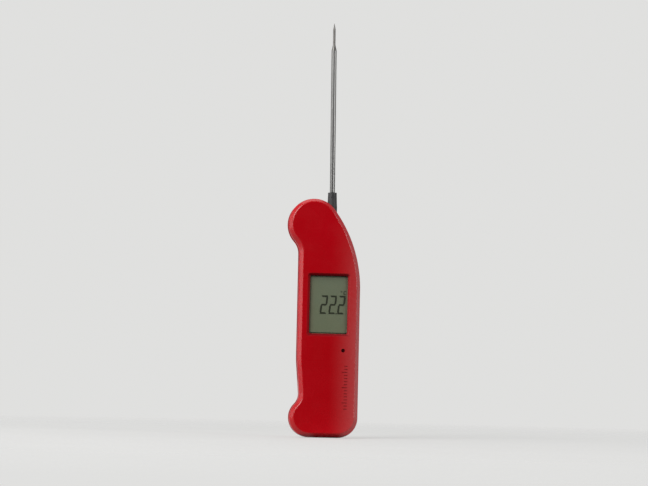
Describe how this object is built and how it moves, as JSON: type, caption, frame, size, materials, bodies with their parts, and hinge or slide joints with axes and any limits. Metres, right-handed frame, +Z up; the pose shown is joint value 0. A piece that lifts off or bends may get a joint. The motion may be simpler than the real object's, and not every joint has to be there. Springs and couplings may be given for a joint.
{
  "type": "folding probe meat thermometer",
  "caption": "Pocket meat thermometer with a thin steel probe that folds out of a red plastic handle with a display window.",
  "frame": {"origin": "centre of the foot end face: on the grip's centreline, at mid thickness, at the foot end", "axes": "+Z up along the body towards the probe, +X to the right seen from the display side, the display faces -Y"},
  "size_m": [0.0469, 0.019, 0.2676],
  "materials": {
    "case_red": "moulded satin-gloss plastic with a fine texture",
    "cover_red": "moulded satin-gloss plastic",
    "hub_black": "matt moulded plastic",
    "collar_black": "matt moulded plastic, slightly worn",
    "seal_rubber": "soft black silicone",
    "screw_steel": "zinc plated",
    "insert_brass": "machined",
    "window_clear": "clear polished acrylic",
    "tape_black": "foam adhesive",
    "lcd_glass": "grey-green reflective display",
    "diffuser_white": "milky light guide",
    "carrier_white": "moulded",
    "contact_strip": "layered conductive silicone",
    "board_green": "solder-masked laminate",
    "chip_black": "moulded epoxy",
    "passive_tan": "fired ceramic with tinned ends",
    "lens_dark": "dark polished lens",
    "wire_sleeve": "thin sleeving",
    "connector_white": "moulded",
    "switch_black": "moulded",
    "cell_jacket": "plain printed steel can",
    "contact_nickel": "nickel plated",
    "probe_steel": "drawn and polished stainless steel",
    "insulator_white": "fluoropolymer",
    "thermo_alloy": "drawn alloy wire",
    "label_silver": "brushed foil, blank"
  },
  "bodies": {
    "body": {"front_case": "case_red", "rear_case": "case_red", "case_seal": "seal_rubber", "case_screws": "screw_steel", "screw_inserts": "insert_brass", "window_seal": "tape_black", "display_window": "window_clear", "lcd_panel": "lcd_glass", "backlight_panel": "diffuser_white", "lcd_contact_strip": "contact_strip", "display_carrier": "carrier_white", "circuit_board": "board_green", "microcontroller": "chip_black", "converter_chip": "chip_black", "board_passives": "passive_tan", "opening_sensor": "chip_black", "light_sensor": "chip_black", "sensor_lens": "lens_dark", "probe_leads": "wire_sleeve", "lead_connector": "connector_white", "positive_contact": "contact_nickel", "negative_contact": "contact_nickel", "contact_spring": "contact_nickel", "unit_switch_housing": "switch_black", "cover_screw_insert": "insert_brass", "rear_label": "label_silver"},
    "probe": {"probe_hub": "hub_black", "probe_collar": "collar_black", "probe_tube": "probe_steel", "probe_insulator": "insulator_white", "thermocouple_wires": "thermo_alloy", "thermocouple_junction": "thermo_alloy", "wake_magnet": "contact_nickel", "trunnion_rings": "seal_rubber", "thrust_washers": "insulator_white"},
    "cover": {"battery_cover": "cover_red", "cover_seal": "seal_rubber"},
    "screw": {"cover_screw": "screw_steel"},
    "cell": {"battery_cell": "cell_jacket"},
    "switch": {"unit_switch_slider": "connector_white"}
  },
  "joints": [
    {"name": "probe_fold", "type": "hinge", "parent": "body", "child": "probe", "pos_m": [-0.01072, 0, 0.1366], "axis": [0, -1, 0], "range_deg": [0, 180]},
    {"name": "cover_off", "type": "slide", "parent": "body", "child": "cover", "axis": [0, 1, 0], "range_m": [0, 0.04]},
    {"name": "screw_turn", "type": "hinge", "parent": "cover", "child": "screw", "pos_m": [0, 0.009, 0.071], "axis": [0, 1, 0], "continuous": true},
    {"name": "cell_out", "type": "slide", "parent": "body", "child": "cell", "axis": [0, 1, 0], "range_m": [0, 0.021]},
    {"name": "unit_select", "type": "slide", "parent": "body", "child": "switch", "axis": [1, 0, 0], "range_m": [0, 0.002]}
  ],
  "couplings": [
    {"joint": "cell_out", "follows": "cover_off", "ratio": 0.5}
  ]
}
